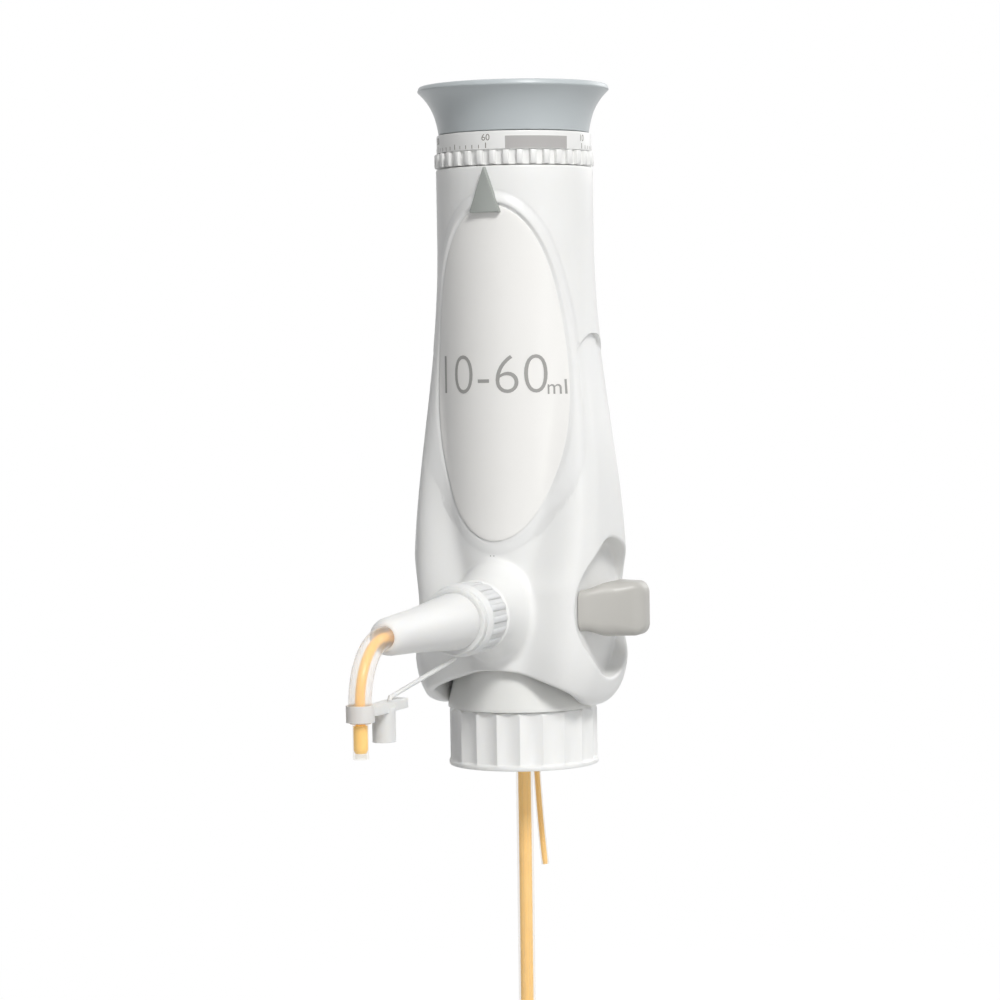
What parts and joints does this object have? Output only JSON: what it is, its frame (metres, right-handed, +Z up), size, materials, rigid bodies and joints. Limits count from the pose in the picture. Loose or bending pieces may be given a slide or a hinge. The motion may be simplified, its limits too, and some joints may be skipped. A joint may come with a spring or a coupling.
{
  "type": "bottle top dispenser",
  "caption": "Bottle top dispenser with a pump handle, stroke dial, two-way valve knob and a forward nozzle, for a screw-neck laboratory bottle.",
  "frame": {"origin": "on the main axis, at the seating face of the neck gasket on the rim of the bottle", "axes": "+Z up along the main axis, -Y along the nozzle, +X towards the valve knob"},
  "size_m": [0.0843, 0.1866, 0.4458],
  "materials": {
    "housing_plastic": "white moulded plastic, fine satin grain",
    "label_film": "printed white film, low gloss",
    "pointer_plastic": "grey moulded plastic",
    "handle_plastic": "blue-grey moulded plastic, satin gloss",
    "knob_plastic": "warm grey moulded plastic",
    "dial_plastic": "white moulded plastic with printed scale",
    "block_plastic": "white fluoropolymer",
    "stop_plastic": "grey moulded plastic",
    "nozzle_plastic": "white polypropylene",
    "cap_plastic": "translucent polyethylene",
    "tube_plastic": "clear fluoropolymer tube with amber liquid",
    "seal_rubber": "white sealing rubber",
    "dark_rubber": "dark sealing rubber",
    "barrel_glass": "clear borosilicate glass",
    "ball_glass": "borosilicate glass",
    "steel": "stainless steel"
  },
  "bodies": {
    "body": {"housing": "housing_plastic", "label_plate": "label_film", "index_pointer": "pointer_plastic", "glass_barrel": "barrel_glass", "barrel_guide": "block_plastic", "barrel_seal": "seal_rubber", "valve_block": "block_plastic", "retaining_flange": "block_plastic", "neck_gasket": "seal_rubber", "filling_valve_body": "block_plastic", "discharge_valve_body": "block_plastic", "discharge_spring": "steel", "suction_tube": "tube_plastic", "recirculation_tube": "tube_plastic", "nozzle_body": "nozzle_plastic", "nozzle_elbow": "cap_plastic", "discharge_tube": "tube_plastic", "strap_ring": "cap_plastic", "nozzle_seal": "seal_rubber", "cap_strap": "cap_plastic"},
    "plunger": {"handle": "handle_plastic", "handle_cover": "handle_plastic", "handle_screw": "steel", "lift_sleeve": "block_plastic", "piston_rod": "block_plastic", "piston_head": "block_plastic", "piston_seal_1": "dark_rubber", "piston_seal_2": "dark_rubber"},
    "dial": {"volume_dial": "dial_plastic", "dial_thread_sleeve": "block_plastic"},
    "stroke_stop": {"stop_ring": "stop_plastic"},
    "knob": {"valve_knob": "knob_plastic", "recirculation_stem": "block_plastic", "stem_oring": "dark_rubber"},
    "screw_collar": {"collar": "nozzle_plastic"},
    "union_nut": {"nozzle_nut": "nozzle_plastic"},
    "cap": {"cap_link": "cap_plastic"},
    "inlet_ball": {"filling_valve_ball": "ball_glass"},
    "outlet_ball": {"discharge_valve_ball": "ball_glass"}
  },
  "joints": [
    {"name": "handle_lift", "type": "slide", "parent": "body", "child": "plunger", "axis": [0, 0, 1], "range_m": [0, 0.0589]},
    {"name": "dial_turn", "type": "hinge", "parent": "body", "child": "dial", "pos_m": [0, 0, 0.207], "axis": [0, 0, -1], "range_deg": [-279, 0]},
    {"name": "stop_slide", "type": "slide", "parent": "body", "child": "stroke_stop", "axis": [0, 0, 1], "range_m": [-0.0492, 0]},
    {"name": "knob_turn", "type": "hinge", "parent": "body", "child": "knob", "pos_m": [0.0285, 0, 0.0415], "axis": [1, 0, 0], "range_deg": [0, 90]},
    {"name": "collar_turn", "type": "hinge", "parent": "body", "child": "screw_collar", "pos_m": [0, 0, -0.005], "axis": [0, 0, 1], "continuous": true},
    {"name": "nozzle_nut_turn", "type": "hinge", "parent": "body", "child": "union_nut", "pos_m": [0, -0.0545, 0.0415], "axis": [0, -1, 0], "continuous": true},
    {"name": "cap_slide", "type": "slide", "parent": "body", "child": "cap", "axis": [0, 0, -1], "range_m": [0, 0.012], "deforming": ["cap_strap"]},
    {"name": "filling_ball_lift", "type": "slide", "parent": "body", "child": "inlet_ball", "axis": [0, 0, 1], "range_m": [0, 0.002]},
    {"name": "discharge_ball_push", "type": "slide", "parent": "body", "child": "outlet_ball", "axis": [0, -1, 0], "range_m": [0, 0.0015], "stiffness_N_per_m": 50, "springref_m": -0.002, "deforming": ["discharge_spring"]}
  ],
  "couplings": [
    {"joint": "stop_slide", "follows": "dial_turn", "m_per_rad": 0.010088}
  ]
}
